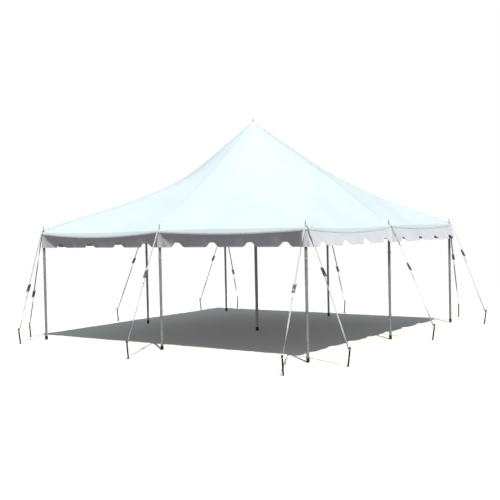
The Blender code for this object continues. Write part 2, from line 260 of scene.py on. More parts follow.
def piece(name, mesh, material, body="tent", stands_for=()):
    """Puts a finished mesh in the scene as one piece that rides on a body."""
    thing = bpy.data.objects.new(name, mesh)
    bpy.context.scene.collection.objects.link(thing)
    mesh.materials.clear()
    mesh.materials.append(material)
    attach(thing, body)
    if stands_for:
        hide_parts(*stands_for)
    return thing


def make_pole(name, x, y, radius, canopy_z):
    place = Matrix.Translation((x, y, 0.0))
    shoulder = canopy_z - 0.035
    tube = [(0.0, 0.004), (radius, 0.004), (radius, shoulder - 0.002), (radius - 0.002, shoulder)]
    tube.append((0.0, shoulder))
    piece(f"pole_{name}", turned("tube", tube, TUBE_FACETS, place), GALVANISED, stands_for=[f"pole_{name}"])
    wide = radius + BOOT_WALL
    boot = [(0.0, 0.0), (wide - 0.004, 0.0), (wide, 0.004)]
    for rib in range(3):
        low = 0.012 + rib * 0.010
        boot += [(wide, low), (wide - 0.0012, low + 0.002), (wide - 0.0012, low + 0.005), (wide, low + 0.007)]
    boot += [(wide, BOOT_HEIGHT - 0.010), (wide - 0.001, BOOT_HEIGHT - 0.003), (radius + 0.0006, BOOT_HEIGHT)]
    boot += [(radius + 0.0003, BOOT_HEIGHT - 0.002), (radius + 0.0003, 0.0035), (0.0, 0.0035)]
    piece(f"boot_{name}", turned("boot", boot, TUBE_FACETS, place), RUBBER)
    top = canopy_z + PIN_RISE
    pin = [(0.0, shoulder + 0.0002), (radius - 0.003, shoulder + 0.0002), (radius - 0.003, shoulder + 0.004)]
    pin += [(radius - 0.006, shoulder + 0.007), (PIN_RADIUS + 0.006, shoulder + 0.014)]
    pin += [(PIN_RADIUS + 0.0015, shoulder + 0.022), (PIN_RADIUS, shoulder + 0.026)]
    pin += [(PIN_RADIUS, top - 0.016), (PIN_RADIUS * 0.85, top - 0.008), (PIN_RADIUS * 0.45, top - 0.002)]
    pin.append((0.0, top))
    piece(f"pin_{name}", turned("pin", pin, 20, place), STEEL)


POLE_PLACES = {
    "front_left": (-1, -1),
    "front_middle": (0, -1),
    "front_right": (1, -1),
    "right_middle": (1, 0),
    "back_right": (1, 1),
    "back_middle": (0, 1),
    "back_left": (-1, 1),
    "left_middle": (-1, 0),
}
make_pole("centre", 0.0, 0.0, CENTRE_POLE_RADIUS, PEAK_Z)
for pole, (across, along) in POLE_PLACES.items():
    make_pole(pole, across * BAY, along * BAY, SIDE_POLE_RADIUS, EAVE_Z)


# The top: one sheet of white coated vinyl, welded from gores, that runs from the peak to the eave and rolls
# over it. It is nearly straight from the peak to each middle pole, sags along the hips, dips between the
# poles and is swayed a little by a breeze from the front left.
CANOPY_HALF = 3.048
HIP_SAG = 0.145
HIP_ROUND = 1.1
EAVE_SAG = 0.030
SAG_DRIFT = 0.016
RIDGE_FALL = 0.055
RIDGE_WIDE = 0.2
PEAK_LIFT = 0.03
HIP_POWER = 2.43
PEAK_HOLE = 0.012
PIN_LIFT = 0.011
PIN_LIFT_REACH = 0.07
SHOULDER = 3.032
SHOULDER_RADIUS = 0.034
BAND_LEAN = 61.0
BAND_WIDE = 0.066
ROLLED_ROWS = 12
SKIRT = 0.018
CORNER_RADIUS = 0.05
BREEZE = (0.05, 0.03)
SWING = (-0.070, 0.120, 0.060, -0.060)
SWING_DOWN = 0.25
VINYL = 0.0016
ROWS_UP = 74
COLUMNS_HALF = 44
SIDE_TURNS = [Matrix.Rotation(math.radians(90 * side), 3, "Z") for side in range(4)]


def eased(step, count, pull):
    """A share from 0 to 1 whose steps are shorter near both ends."""
    share = step / count
    return pull * (1 - math.cos(math.pi * share)) / 2 + (1 - pull) * share


def smooth(share):
    """From 0 to 1 with a level start and end, and flat beyond them."""
    share = min(max(share, 0.0), 1.0)
    return share * share * (3 - 2 * share)


def surface_z(out, along):
    """Height of the sheet on the square that lies out from the centre, along from -1 to 1 on its side."""
    ring = out / BAY
    across = abs(along)
    inside = min(ring, 1.0)
    fall = RIDGE_FALL * (1 - math.exp(-across / RIDGE_WIDE))
    hip = math.sin(math.pi * inside) ** 1.8 * (fall + (HIP_SAG - RIDGE_FALL) * across**HIP_POWER)
    hip -= PEAK_LIFT * math.exp(-((out / 0.3) ** 2))
    dip = (EAVE_SAG - SAG_DRIFT * math.copysign(1, along)) * inside**2 * math.sin(math.pi * across)
    return PEAK_Z - (PEAK_Z - EAVE_Z) * ring - hip - dip


def rounded_corner(out, along, radius):
    """Where a point on one side of the square goes when the square's corners are rounded."""
    from_corner = out * (1 - abs(along))
    if from_corner >= radius or radius <= 0:
        return out * along, -out
    turn = (radius - from_corner) / radius * math.pi / 4
    x = out - radius + radius * math.sin(turn)
    return math.copysign(x, along), -(out - radius + radius * math.cos(turn))


HOLLOWS = [((1.9, -2.45), 0.62, 0.040), ((-2.0, -2.6), 0.5, 0.018), ((2.5, 1.25), 0.6, 0.034),
           ((-1.2, 2.5), 0.6, 0.025)]
PULLS = [((0.0, 0.0), 9, 0.5, 0.004)]
for across, along in POLE_PLACES.values():
    fan = (26, 0.62, 0.0055) if across * along else (19, 0.42, 0.004)
    PULLS.append(((across * BAY, along * BAY), *fan))


def pull_lines(x, y):
    """Shallow creases in the vinyl that fan out from the pins, and the lift over each corner pin."""
    height = PIN_LIFT * math.exp(-((math.hypot(abs(x) - BAY, abs(y) - BAY) / PIN_LIFT_REACH) ** 2))
    for (px, py), count, reach, depth in PULLS:
        dx, dy = x - px, y - py
        far = math.hypot(dx, dy)
        if far < 1e-4 or far > 3 * reach:
            continue
        turn = math.atan2(dy, dx)
        fade = math.exp(-((far / reach) ** 1.5)) * min(far / 0.12, 1.0)
        crease = math.sin(count * turn + 1.7 * math.sin(3.1 * far + px))
        height += depth * fade * crease * (0.6 + 0.4 * math.sin(5 * turn + py))
    for (px, py), reach, depth in HOLLOWS:
        height -= depth * math.exp(-(((x - px) ** 2 + (1.6 * (y - py)) ** 2) / reach**2))
    return height


def slack(along):
    """From 0 over a pin, where the edge is pulled tight, to 1 halfway to the next pin."""
    return abs(math.sin(math.pi * along)) ** 0.8


def lean_out(side, along):
    """The angle at which the hanging edge stands out where the breeze lifts it: none at a corner."""
    return math.atan2(max(SWING[side], 0.0), SWING_DOWN) * smooth((1 - abs(along)) / 0.04)


def roll_over(step, side, along):
    """Past the shoulder: how far out and down the sheet goes, over a leaning band to its hanging edge."""
    tilt = lean_out(side, along)
    last = ROLLED_ROWS - 2
    if step > last:
        out, down = roll_over(last, side, along)
        share = (step - last) / 2
        return out + share * (0.001 + SKIRT * math.sin(tilt)), down + share * SKIRT * math.cos(tilt)
    start, lean, end = math.radians(34), math.radians(BAND_LEAN), math.radians(86) - tilt
    first = ROLLED_ROWS // 2 - 1
    turn = start + (lean - start) * min(step / first, 1.0)
    if step > first + 1:
        turn = lean + (end - lean) * (step - first - 1) / (last - 1 - first)
    out = SHOULDER_RADIUS * (math.sin(turn) - math.sin(start))
    down = SHOULDER_RADIUS * (math.cos(start) - math.cos(turn))
    if step > first:
        band = BAND_WIDE * slack(along)
        out, down = out + band * math.cos(lean), down + band * math.sin(lean)
    return out, down


def drawn_in(along):
    """How far the shoulder stands back between the pins, so that the band still ends at the edge."""
    return BAND_WIDE * slack(along) * math.cos(math.radians(BAND_LEAN))


def edge_place(side, along):
    """How far out and how high the sheet is where its hanging edge begins."""
    out, down = roll_over(ROLLED_ROWS - 2, side, along)
    back = SHOULDER - drawn_in(along)
    return back + out, surface_z(back, along) - down


def canopy_stations():
    half = [eased(step, COLUMNS_HALF, 0.72) for step in range(COLUMNS_HALF + 1)]
    return [-share for share in reversed(half)] + half[1:]


def ringed(name, points, around):
    """A sheet through rows of points that each run round the tent."""
    faces = []
    for a in range(len(points) - around):
        b = a + 1 if (a + 1) % around else a + 1 - around
        faces.append((a, a + around, b + around, b))
    mesh = bpy.data.meshes.new(name)
    mesh.from_pydata(points, [], faces)
    mesh.update()
    return mesh


def canopy_mesh():
    stations = canopy_stations()[:-1]
    outs = [PEAK_HOLE + (SHOULDER - PEAK_HOLE) * eased(step, ROWS_UP, 0.45) for step in range(ROWS_UP + 1)]
    points = []
    for row in range(len(outs) + ROLLED_ROWS):
        out = outs[min(row, len(outs) - 1)]
        sway = math.sin(math.pi * min(out / BAY, 1.0)) ** 1.3
        radius = min(CORNER_RADIUS + HIP_ROUND * sway, out * 0.85)
        for side, spin in enumerate(SIDE_TURNS):
            for along in stations:
                more, drop = 0.0, 0.0
                if row >= len(outs):
                    more, drop = roll_over(row - len(outs) + 1, side, along)
                back = drawn_in(along) * (out / SHOULDER) ** 12
                x, y = rounded_corner(out - back + more, along, radius + more)
                point = spin @ Vector((x, y, surface_z(out - back, along) - drop))
                lift = pull_lines(point.x, point.y) if row < len(outs) else 0.0
                point.x += BREEZE[0] * sway
                point.y += BREEZE[1] * sway
                point.z += lift * min(1.0, (SHOULDER - out) / 0.05)
                points.append(point)
    return ringed("canopy_top", points, 4 * len(stations))


def thickened(mesh, thickness):
    """Gives a sheet its thickness, inwards from its outer face, and closes its edges."""
    helper = bpy.data.objects.new("helper", mesh)
    bpy.context.scene.collection.objects.link(helper)
    wall = helper.modifiers.new("wall", "SOLIDIFY")
    wall.thickness = thickness
    wall.offset = -1.0
    graph = bpy.context.evaluated_depsgraph_get()
    result = bpy.data.meshes.new_from_object(helper.evaluated_get(graph))
    result.name = mesh.name
    bpy.data.objects.remove(helper, do_unlink=True)
    result.shade_smooth()
    result.set_sharp_from_angle(angle=math.radians(50))
    return result


def coated_vinyl(name, dark, light, grime):
    """White coated cloth: a faint weave under the coat, slow changes of tone and a little dust."""
    material, shader, tree = painted(name, light, 0.42)
    colour = mottle(tree, shader, 1.3, dark, light, (0.36, 0.5), detail=5.0)
    place = node(tree, "ShaderNodeTexCoord").outputs["Object"]
    threads = []
    for turn in (0.0, math.pi / 2):
        way = node(tree, "ShaderNodeMapping", place, Rotation=(0.0, 0.0, turn))
        threads.append(node(tree, "ShaderNodeTexWave", way, Scale=110.0, Distortion=0.4).outputs[1])
    weave = node(tree, "ShaderNodeMath", *threads, operation="ADD")
    relief(tree, shader, weave, 0.12, 0.0003)
    dust = node(tree, "ShaderNodeTexNoise", place, Scale=14.0, Detail=8.0)
    spots = node(tree, "ShaderNodeMapRange", dust, 0.55, 0.8, To_Max=grime)
    dirty = node(tree, "ShaderNodeMixRGB", spots, colour, (0.55, 0.54, 0.50, 1.0))
    fed(shader, Base_Color=dirty, Specular_IOR_Level=0.35)
    return material


ROOF_VINYL = coated_vinyl("roof_vinyl", (0.745, 0.86, 0.88), (0.795, 0.895, 0.91), 0.10)
canopy = piece("canopy_top", thickened(canopy_mesh(), VINYL), ROOF_VINYL,
               stands_for=["roof_front", "roof_right", "roof_back", "roof_left"])


# The valance: a strip of the same vinyl sewn under the rolled edge all round. Its lower edge is cut in bells
# between flat lobes and bound with tape. The breeze swings it in at the front and left and out at the right
# and back, and the pins and poles hold it in fans.
VALANCE_AT = 3.0445
VALANCE_BEHIND = 0.0024
VALANCE_BOTTOM_Z = 1.815
VALANCE_VINYL = 0.0012
NOTCH_PITCH = 0.745
NOTCH_COUNT = 8
NOTCH_HALF = 0.148
NOTCH_RISE = 0.081
FIRST_NOTCH = (0.505, 0.435, 0.60, 0.60)
NOTCH_DRIFT = ((-0.03, 0.04, 0.04, -0.035, -0.035, -0.005, 0.035, -0.01),
               (0.0, 0.02, 0.005, -0.025, -0.03, 0.02, 0.01, 0.0), (0.01, -0.02) * 4, (-0.01, 0.02) * 4)
VALANCE_STEPS = 420
FAN_WIDE = 0.8
FAN_LEE = (0.45, 0.45, 0.40, 0.45)
CORNER_LEE = (0.12, 0.60, 0.40, 0.30)
HOLD = (0.45, 0.25, 0.40, 0.45)
CORNER_HOLD = (0.45, 0.80, 0.50, 0.45)
VALANCE_ROWS = 16


def notch_rise(side, x):
    """How far the lower edge stands above the lobes at x: a bell in each notch."""
    first = -CANOPY_HALF + FIRST_NOTCH[side]
    nearest = min(max(round((x - first) / NOTCH_PITCH), 0), NOTCH_COUNT - 1)
    middle = first + nearest * NOTCH_PITCH + NOTCH_DRIFT[side][nearest]
    return NOTCH_RISE * smooth((1.0 - abs(x - middle) / NOTCH_HALF) / 0.78)


def fold_depth(side, x, down):
    """How far the breeze swings the valance from its plane at x, down metres below its top: less in the fans
    under the pins, and not at all where a pole stands behind it."""
    swing = SWING[side]
    drop = (down if swing > 0 else max(down - SKIRT, 0.0)) / SWING_DOWN
    wave = 0.0045 * math.sin(8.4 * x + 1.9 * side) + 0.003 * math.sin(17.3 * x + 2.3 + side)
    held, creases = 0.0, 0.0
    for px in (-BAY, 0.0, BAY):
        aside = math.atan2(x - px, down + 0.02)
        wide = (CORNER_LEE if px else FAN_LEE)[side] if aside < 0 else FAN_WIDE * (0.75 if px else 1.0)
        fan = smooth((1.6 - abs(aside) / (wide * (0.45 + 2 * down))) / 1.3)
        pole = smooth(1.35 - abs(x - px) / (0.07 if px < BAY else 0.06)) if swing < 0 else 0.0
        held = max(held, fan * (CORNER_HOLD if px > 0 else HOLD)[side], pole)
        creases += fan * (0.0035 * math.cos(9.0 * aside + 0.8) + 0.0018 * math.cos(21.0 * aside + side))
    free = (1.0 - held) * smooth((1 - abs(x) / VALANCE_AT) / 0.04)
    return drop * ((swing + wave) * free + creases * min(1.0, (VALANCE_AT - abs(x)) / 0.06))


def valance_point(side, step, row):
    along = 2 * step / VALANCE_STEPS - 1
    out, top = edge_place(side, along)
    top -= 0.002
    bottom = VALANCE_BOTTOM_Z + notch_rise(side, VALANCE_AT * along)
    down = (top - bottom) * row / VALANCE_ROWS
    out += fold_depth(side, VALANCE_AT * along, down) - VALANCE_BEHIND
    x, y = rounded_corner(out, along, CORNER_RADIUS + 0.020 - 0.07 * down)
    return SIDE_TURNS[side] @ Vector((x, y, top - down))


def valance_mesh():
    points = []
    for row in range(VALANCE_ROWS + 1):
        for side in range(4):
            points += [valance_point(side, step, row) for step in range(VALANCE_STEPS)]
    return ringed("valance", points, 4 * VALANCE_STEPS)


HANGING_VINYL = coated_vinyl("valance_vinyl", (0.82, 0.85, 0.875), (0.885, 0.915, 0.94), 0.16)
valance = piece("valance", thickened(valance_mesh(), VALANCE_VINYL), HANGING_VINYL,
                stands_for=[f"valance_{side}" for side in ("front", "right", "back", "left")])


# The valance's binding: white tape folded over the cut edge and sewn through with a row of thread. One tree
# of geometry nodes sweeps the tape along its path, and another sets the stitches.
BINDING_DEEP = 0.014
BINDING_THICK = 0.0034


def size_inputs(tree, sizes):
    """Gives a geometry tree its geometry sockets and then named inputs with their usual values."""
    tree.interface.new_socket("Geometry", in_out="INPUT", socket_type="NodeSocketGeometry")
    tree.interface.new_socket("Geometry", in_out="OUTPUT", socket_type="NodeSocketGeometry")
    for label, value in sizes.items():
        tree.interface.new_socket(label, in_out="INPUT", socket_type="NodeSocketFloat").default_value = value
    tree.interface.new_socket("Material", in_out="INPUT", socket_type="NodeSocketMaterial")


def grown(name, base, tree, material, **sizes):
    """The plain mesh that a geometry tree grows on a base mesh, with its named inputs set."""
    helper = bpy.data.objects.new("helper", base)
    bpy.context.scene.collection.objects.link(helper)
    grow = helper.modifiers.new("grow", "NODES")
    grow.node_group = tree
    for item in tree.interface.items_tree:
        if item.in_out == "INPUT" and item.name == "Material":
            grow[item.identifier] = material
        elif item.in_out == "INPUT" and item.name in sizes:
            grow[item.identifier] = float(sizes[item.name])
    graph = bpy.context.evaluated_depsgraph_get()
    mesh = bpy.data.meshes.new_from_object(helper.evaluated_get(graph))
    bpy.data.objects.remove(helper, do_unlink=True)
    mesh.name = name
    return mesh


def with_length(tree, curve):
    """The curve with the distance along it kept at each point, and that distance."""
    kept = node(tree, "GeometryNodeCaptureAttribute", curve)
    kept.capture_items.new("FLOAT", "Length")
    fed(kept, Length=node(tree, "GeometryNodeSplineParameter").outputs["Length"])
    return kept.outputs["Geometry"], kept.outputs["Length"]


def finish_tree(tree, given, geometry):
    """Makes what a tree has grown real, coats it with the material and passes it out."""
    real = node(tree, "GeometryNodeRealizeInstances", geometry)
    coat = node(tree, "GeometryNodeSetMaterial", real, Material=given["Material"])
    node(tree, "NodeGroupOutput", coat)


def tape_tree():
    """Sweeps a rounded rectangle along a path: Across it, Deep out of it, turned by Quarters of a turn."""
    tree = bpy.data.node_groups.new("tape_along_path", "GeometryNodeTree")
    size_inputs(tree, {"Across": 0.012, "Deep": 0.003, "Round": 0.001, "Quarters": 0.0, "From": 0.1,
                       "To": 0.9, "Bend": 0.01, "Step": 0.02})
    given = node(tree, "NodeGroupInput").outputs
    path = node(tree, "GeometryNodeMeshToCurve", given["Geometry"])
    bends = node(tree, "GeometryNodeFilletCurve", path, mode="POLY", Radius=given["Bend"],
                 Count=6, Limit_Radius=True)
    steps = node(tree, "GeometryNodeResampleCurve", bends, mode="LENGTH", Length=given["Step"])
    place = node(tree, "GeometryNodeSplineParameter").outputs["Factor"]
    share = node(tree, "ShaderNodeMapRange", place, given["From"], given["To"],
                 interpolation_type="SMOOTHSTEP")
    whole = node(tree, "ShaderNodeMath", given["Quarters"], math.pi / 2, operation="MULTIPLY")
    lean = node(tree, "GeometryNodeInputNamedAttribute", Name="lean").outputs["Attribute"]
    turn = node(tree, "ShaderNodeMath", whole, share, lean, operation="MULTIPLY_ADD")
    twist = node(tree, "GeometryNodeSetCurveTilt", steps, Tilt=turn)
    section = node(tree, "GeometryNodeCurvePrimitiveQuadrilateral", Width=given["Across"],
                   Height=given["Deep"])
    soften = node(tree, "GeometryNodeFilletCurve", section, mode="POLY", Radius=given["Round"],
                  Count=3, Limit_Radius=True)
    path, along = with_length(tree, twist)
    section, around = with_length(tree, soften)
    sweep = node(tree, "GeometryNodeCurveToMesh", path, Profile_Curve=section, Fill_Caps=True)
    chart = node(tree, "GeometryNodeStoreNamedAttribute", sweep, data_type="FLOAT2", domain="CORNER",
                 Name="UVMap", Value=node(tree, "ShaderNodeCombineXYZ", around, along))
    finish_tree(tree, given, chart)
    return tree


def stitch_tree():
    """Sets a short thread every Pitch along a path, raised in its middle where it bites into the cloth."""
    tree = bpy.data.node_groups.new("stitches_along_path", "GeometryNodeTree")
    size_inputs(tree, {"Pitch": 0.012, "Long": 0.007, "Thread": 0.0012})
    given = node(tree, "NodeGroupInput").outputs
    path = node(tree, "GeometryNodeMeshToCurve", given["Geometry"])
    spots = node(tree, "GeometryNodeResampleCurve", path, mode="LENGTH", Length=given["Pitch"])
    thread = node(tree, "GeometryNodeMeshIcoSphere", Radius=0.5, Subdivisions=1)
    heading = node(tree, "GeometryNodeInputTangent")
    facing = node(tree, "FunctionNodeAlignRotationToVector", axis="X", Vector=heading)
    size = node(tree, "ShaderNodeCombineXYZ", given["Long"], given["Thread"], given["Thread"])
    sewn = node(tree, "GeometryNodeInstanceOnPoints", spots, Instance=thread, Rotation=facing, Scale=size)
    finish_tree(tree, given, sewn)
    return tree


TAPE, STITCHES = tape_tree(), stitch_tree()


def paths_mesh(paths, closed=False, leans=()):
    """Edges along one or more paths, for a geometry tree to follow, and the tape's lean at each point."""
    points, edges = [], []
    for path in paths:
        first = len(points)
        points += list(path)
        edges += [(first + step, first + step + 1) for step in range(len(path) - 1)]
        if closed:
            edges.append((len(points) - 1, first))
    mesh = bpy.data.meshes.new("paths")
    mesh.from_pydata([tuple(point) for point in points], edges, [])
    if leans:
        mesh.attributes.new("lean", "FLOAT", "POINT").data.foreach_set("value", leans)
    return mesh


def swept(name, paths, material, across, deep, closed=False, quarters=0, step=0.02, bend=0.0, soft=None,
          turn_from=0.1, turn_to=0.9, leans=()):
    soft = 0.45 * min(across, deep) if soft is None else soft
    mesh = grown(name, paths_mesh(paths, closed, leans), TAPE, material, Across=across, Deep=deep,
                 Quarters=quarters, Step=step, Bend=bend, Round=soft, From=turn_from, To=turn_to)
    mesh.shade_smooth()
    mesh.set_sharp_from_angle(angle=math.radians(50))
    return mesh


def hem_path(rise, out):
    """A path round the tent by the valance's cut edge, rise up its face and out from it, and its lean."""
    path, leans = [], []
    for side, spin in enumerate(SIDE_TURNS):
        outward = spin @ Vector((0, -1, 0))
        for step in range(VALANCE_STEPS):
            edge = valance_point(side, step, VALANCE_ROWS)
            up = (valance_point(side, step, VALANCE_ROWS - 1) - edge).normalized()
            lean = math.atan2(up.dot(outward), up.z)
            face = outward * math.cos(lean) - Vector((0, 0, math.sin(lean)))
            path.append(edge + up * rise + face * out)
            leans.append(lean)
    return path, leans


TAPE_WHITE = mottled("binding_tape", (0.86, 0.87, 0.88), 0.0, 220.0, (0.78, 0.79, 0.80),
                     (0.90, 0.905, 0.91), (0.6, 0.8), 0.0004)
THREAD = mottled("white_thread", (0.88, 0.88, 0.87), 0.0, 600.0, (0.80, 0.80, 0.79), (0.92, 0.92, 0.91),
                 (0.5, 0.7), 0.0001)
middle = -VALANCE_VINYL / 2
hem, leans = hem_path(0.004, middle)
binding = swept("valance_binding", [hem], TAPE_WHITE, BINDING_THICK, BINDING_DEEP, closed=True, leans=leans)
piece("valance_binding", binding, TAPE_WHITE)
sewn = paths_mesh([hem_path(0.008, BINDING_THICK / 2 + middle)[0]], True)
piece("binding_stitches", grown("binding_stitches", sewn, STITCHES, THREAD), THREAD)


# The top's details: welded seam tapes down the hips and ridges, doubled patches round the peak and each pin
# with a rolled steel grommet in each, and the rows of stitches that hold the valance under the edge.
canopy_tree = BVHTree.FromPolygons([corner.co for corner in canopy.data.vertices],
                                   [face.vertices for face in canopy.data.polygons])
SEAM_WIDTH = 0.032
SEAM_THICK = 0.0008
PATCH_REACH = 0.20
PEAK_PATCH_REACH = 0.34
PATCH_THICK = 0.0009


def on_canopy(x, y, lift=0.0):
    """The point of the top's upper face over x, y, raised along its normal, and that normal."""
    place, normal, _, _ = canopy_tree.ray_cast(Vector((x, y, 6.0)), Vector((0, 0, -1)))
    return place + normal * lift, normal


def seam_path(across, along, stop):
    """Down the top from beside the peak, along a hip or a ridge."""
    path = []
    for step in range(91):
        out = 0.05 + (stop - 0.05) * step / 90
        ring = min(out / BAY, 1.0)
        sway = math.sin(math.pi * ring) ** 1.3
        path.append(on_canopy(across * out + BREEZE[0] * sway, along * out + BREEZE[1] * sway, 0.0006)[0])
    return path


seams = [seam_path(across, along, 3.0 if across * along else 3.015) for across, along in POLE_PLACES.values()]
piece("canopy_seams", swept("canopy_seams", seams, ROOF_VINYL, SEAM_WIDTH, SEAM_THICK, step=0.05), ROOF_VINYL)


def reach_inside(cx, cy, turn, reach, margin):
    """How far a ray from a pin can go before it meets the rounded rim of the top's flat part."""
    limit = SHOULDER - margin
    far = reach
    while far > 0.002:
        x, y = abs(cx + far * math.cos(turn)), abs(cy + far * math.sin(turn))
        past_x, past_y = x - limit + CORNER_RADIUS, y - limit + CORNER_RADIUS
        if past_x > 0 and past_y > 0:
            free = math.hypot(past_x, past_y) <= CORNER_RADIUS
        else:
            free = max(x, y) <= limit
        if free:
            return far
        far -= 0.001
    return far


def patch_mesh(name, cx, cy, reach, hole):
    """A round doubler laid on the top, cut off along the rolled edge."""
    rings, spokes = 10, 56
    work = bmesh.new()
    rows = [[] for ring in range(rings + 1)]
    for spoke in range(spokes):
        turn = math.tau * spoke / spokes
        free = max(reach_inside(cx, cy, turn, reach, 0.004), hole + 0.003)
        for ring, row in enumerate(rows):
            far = hole + (free - hole) * ring / rings
            place, _ = on_canopy(cx + far * math.cos(turn), cy + far * math.sin(turn), PATCH_THICK + 0.0002)
            row.append(work.verts.new(place))
    for near, out in zip(rows, rows[1:]):
        for spoke in range(spokes):
            after = (spoke + 1) % spokes
            work.faces.new((near[spoke], out[spoke], out[after], near[after]))
    return thickened(finished(name, work), PATCH_THICK)


def patch_rim(cx, cy, reach):
    rim = []
    for spoke in range(120):
        turn = math.tau * spoke / 120
        free = reach_inside(cx, cy, turn, reach, 0.010)
        rim.append(on_canopy(cx + free * math.cos(turn), cy + free * math.sin(turn), 2 * PATCH_THICK)[0])
    return rim


ZINC = mottled("zinc_plate", (0.42, 0.42, 0.43), 0.9, 90.0, (0.26, 0.26, 0.27), (0.52, 0.52, 0.53),
               (0.3, 0.55), 0.0002)
pins = {"peak": (0.0, 0.0)} | {pole: (x * BAY, y * BAY) for pole, (x, y) in POLE_PLACES.items()}
rims = []
for pin, (x, y) in pins.items():
    reach = PEAK_PATCH_REACH if pin == "peak" else PATCH_REACH
    piece(f"patch_{pin}", patch_mesh(f"patch_{pin}", x, y, reach, 0.014), ROOF_VINYL)
    rims += [patch_rim(x, y, reach - 0.008), patch_rim(x, y, reach - 0.016)]
    level, lean = PEAK_Z - 0.009, Vector((0, 0, 1))
    if pin != "peak":
        level, lean = on_canopy(x, y)[0].z, on_canopy(x * 0.995, y * 0.995)[1]
    face = Matrix.Translation((x, y, level)) @ lean.to_track_quat("Z", "Y").to_matrix().to_4x4()
    ring = [(0.0105, -0.003), (0.0105, 0.0016), (0.012, 0.003), (0.0155, 0.0034), (0.0195, 0.0028)]
    ring += [(0.021, 0.0012), (0.021, -0.003), (0.0105, -0.003)]
    piece(f"grommet_{pin}", turned("grommet", ring, 28, face), ZINC)
sewn = grown("patch_stitches", paths_mesh(rims, True), STITCHES, THREAD, Pitch=0.010, Long=0.006)
piece("patch_stitches", sewn, THREAD)


def eave_path(drop, out):
    """A path round the tent on the hanging edge, drop metres down its face and out from it."""
    path = []
    for side, spin in enumerate(SIDE_TURNS):
        for along in canopy_stations()[:-1]:
            edge, level = edge_place(side, along)
            tilt = lean_out(side, along)
            far = edge + drop * math.sin(tilt) + out * math.cos(tilt)
            x, y = rounded_corner(far, along, CORNER_RADIUS + edge - SHOULDER + drawn_in(along))
            path.append(spin @ Vector((x, y, level - drop * math.cos(tilt) + out * math.sin(tilt))))
    return path


rows = [eave_path(0.005, 0.0006), eave_path(0.013, 0.0009)]
piece("eave_stitches", grown("eave_stitches", paths_mesh(rows, True), STITCHES, THREAD), THREAD)


# The stakes: forged iron rods, black with a rusty bloom, driven leaning outwards and mushroomed by the
# hammer.
STAKE_RADIUS = 0.0125
STAKE_HEAD_RADIUS = 0.017
STAKE_HEAD = 0.012
LOOP_Z = 0.262

IRON = mottled("forged_iron", (0.03, 0.03, 0.03), 0.7, 45.0, (0.012, 0.012, 0.012), (0.07, 0.055, 0.045),
               (0.45, 0.8), 0.0006)


def stake_line(guy):
    """Foot, top and direction of a stake, read from its solid."""
    corners = [vertex.co for vertex in frame["nodes"][f"stake_{guy}"].data.vertices]
    low = [point for point in corners if point.z < 0.0005]
    level = max(point.z for point in corners)
    high = [point for point in corners if point.z > level - STAKE_HEAD_RADIUS * 0.4]
    foot = sum(low, Vector()) / len(low)
    top = sum(high, Vector()) / len(high)
    return foot, top, (top - foot).normalized()


def stake_piece(guy):
    foot, top, axis = stake_line(guy)
    long = (top - foot).length
    flare = STAKE_HEAD_RADIUS
    profile = [(0.0, -0.02), (STAKE_RADIUS, -0.02), (STAKE_RADIUS, long - STAKE_HEAD - 0.002)]
    profile += [(STAKE_RADIUS + 0.001, long - STAKE_HEAD), (flare - 0.001, long - STAKE_HEAD + 0.001)]
    profile += [(flare, long - STAKE_HEAD + 0.003), (flare, long - 0.004), (flare - 0.0015, long - 0.0015)]
    profile += [(flare - 0.005, long), (0.0, long)]
    place = Matrix.Translation(foot) @ axis.to_track_quat("Z", "Y").to_matrix().to_4x4()
    mesh = turned("stake", profile, 28, place)
    for vertex in mesh.vertices:
        if vertex.co.z < 0:
            vertex.co -= axis * (vertex.co.z / axis.z)
    piece(f"stake_{guy}", mesh, IRON, stands_for=[f"stake_{guy}"])


# The guys: white webbing from an eye on the pin, over the edge and down to the ratchet's spool, where it
# winds up. Below the ratchet a wire hook holds a ring, and a sewn sling runs from the ring to a noose round
# the stake.
WEBBING = 0.025
PLY = 0.0018
EYE_RISE = 0.016
EYE_STACK = 0.0036
EYE_BACK = 0.016
EYE_FRONT = 0.024
EDGE_OUT = 0.0545
EDGE_DROP = 0.028
SPOOL_RADIUS = 0.0078
BOLT_AT = 0.110
RING_AT = 0.262
RING_RADIUS = 0.0165
WIRE = 0.0046
PLATE = 0.003
TWISTS = {"front_left_to_left": 2, "front_right_to_front": 2, "right_middle": 4, "back_right_to_back": 2}


def woven():
    """White webbing: a ribbed weave along the piece's own chart, with a rib every millimetre and a half."""
    material, shader, tree = painted("white_webbing", (0.78, 0.78, 0.76), 0.85)
    mottle(tree, shader, 9.0, (0.62, 0.62, 0.60), (0.82, 0.82, 0.80))
    chart = node(tree, "ShaderNodeUVMap", uv_map="UVMap")
    ribs = []
    for stretch in ((0.0, 1.0, 0.0), (1.0, 0.0, 0.0)):
        way = node(tree, "ShaderNodeMapping", chart, Scale=stretch)
        wave = node(tree, "ShaderNodeTexWave", way, bands_direction="DIAGONAL", Scale=200.0)
        ribs.append(wave.outputs[1])
    relief(tree, shader, node(tree, "ShaderNodeMath", *ribs, operation="MULTIPLY"), 0.5, 0.0005)
    return material


WEBBING_WHITE = woven()
GRIP = mottled("handle_grip", (0.03, 0.03, 0.035), 0.0, 120.0, (0.02, 0.02, 0.022), (0.05, 0.05, 0.055),
               (0.5, 0.8), 0.0005)


def axes_at(origin, x_axis, z_axis):
    turn = Matrix((x_axis, z_axis.cross(x_axis), z_axis)).transposed().to_4x4()
    return Matrix.Translation(origin) @ turn


